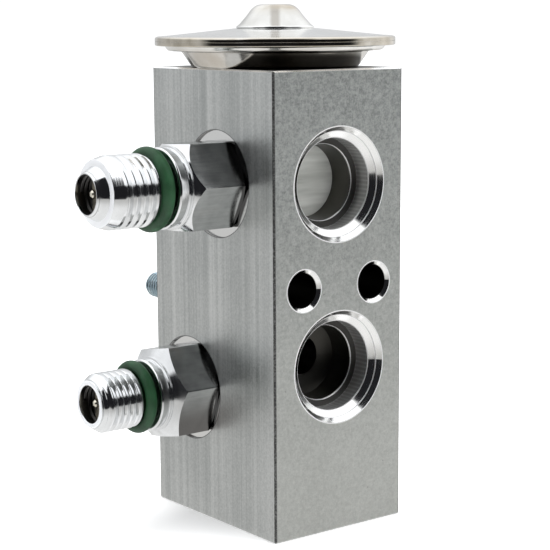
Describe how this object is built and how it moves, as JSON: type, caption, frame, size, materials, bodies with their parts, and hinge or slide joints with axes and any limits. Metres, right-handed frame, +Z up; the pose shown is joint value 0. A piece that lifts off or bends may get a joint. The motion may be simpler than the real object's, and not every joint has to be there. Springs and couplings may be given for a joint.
{
  "type": "thermostatic expansion valve",
  "caption": "Block expansion valve with a diaphragm head, two male threaded fittings with valve cores and two stepped pipe ports.",
  "frame": {"origin": "centre of the block's bottom face, on the valve axis", "axes": "+Z up the valve axis to the head, -Y out of the port face, -X out of the fitting face"},
  "size_m": [0.0613, 0.0609, 0.0908],
  "materials": {
    "block": "satin extruded aluminium with fine vertical lines",
    "fitting": "bright turned metal",
    "head": "bright pressed stainless steel",
    "green_rubber": "smooth green rubber",
    "black_rubber": "matte black rubber",
    "zinc": "blue zinc plating",
    "steel": "ground steel",
    "brass": "turned brass",
    "white_plastic": "white sealing plastic"
  },
  "bodies": {
    "housing": {"valve_block": "block", "mounting_stud": "zinc", "suction_fitting": "fitting", "suction_o_ring": "green_rubber", "suction_shank_seal": "black_rubber", "suction_core_barrel": "brass", "suction_core_gasket": "white_plastic", "suction_core_spring": "steel", "liquid_fitting": "fitting", "liquid_o_ring": "green_rubber", "liquid_shank_seal": "black_rubber", "liquid_core_barrel": "brass", "liquid_core_gasket": "white_plastic", "liquid_core_spring": "steel", "head_base": "head", "head_cap": "head", "charge_dome": "head", "diaphragm": "head", "head_o_ring": "black_rubber", "rod_o_ring": "black_rubber", "rod_retainer": "brass", "superheat_spring": "steel"},
    "valve_train": {"diaphragm_pad": "brass", "sensing_rod": "steel", "push_pin": "steel", "valve_ball": "steel", "ball_carrier": "brass"},
    "suction_core": {"suction_core_pin": "brass", "suction_plunger_seal": "black_rubber"},
    "liquid_core": {"liquid_core_pin": "brass", "liquid_plunger_seal": "black_rubber"},
    "adjuster_seal": {"adjuster_o_ring": "black_rubber"},
    "adjuster": {"adjusting_screw": "brass"}
  },
  "joints": [
    {"name": "valve_opening", "type": "slide", "parent": "housing", "child": "valve_train", "axis": [0, 0, -1], "range_m": [0, 0.0008], "stiffness_N_per_m": 6000, "deforming": ["superheat_spring", "diaphragm"]},
    {"name": "suction_core_press", "type": "slide", "parent": "housing", "child": "suction_core", "axis": [1, 0, 0], "range_m": [0, 0.0012], "stiffness_N_per_m": 1200, "deforming": ["suction_core_spring"]},
    {"name": "liquid_core_press", "type": "slide", "parent": "housing", "child": "liquid_core", "axis": [1, 0, 0], "range_m": [0, 0.0012], "stiffness_N_per_m": 1200, "deforming": ["liquid_core_spring"]},
    {"name": "adjuster_travel", "type": "slide", "parent": "housing", "child": "adjuster_seal", "axis": [0, 0, 1], "range_m": [-0.001, 0.001]},
    {"name": "adjuster_turn", "type": "hinge", "parent": "adjuster_seal", "child": "adjuster", "pos_m": [0, 0, 0.006], "axis": [0, 0, 1], "range_deg": [-360, 360]}
  ],
  "couplings": [
    {"joint": "adjuster_turn", "follows": "adjuster_travel", "rad_per_m": 6283}
  ]
}
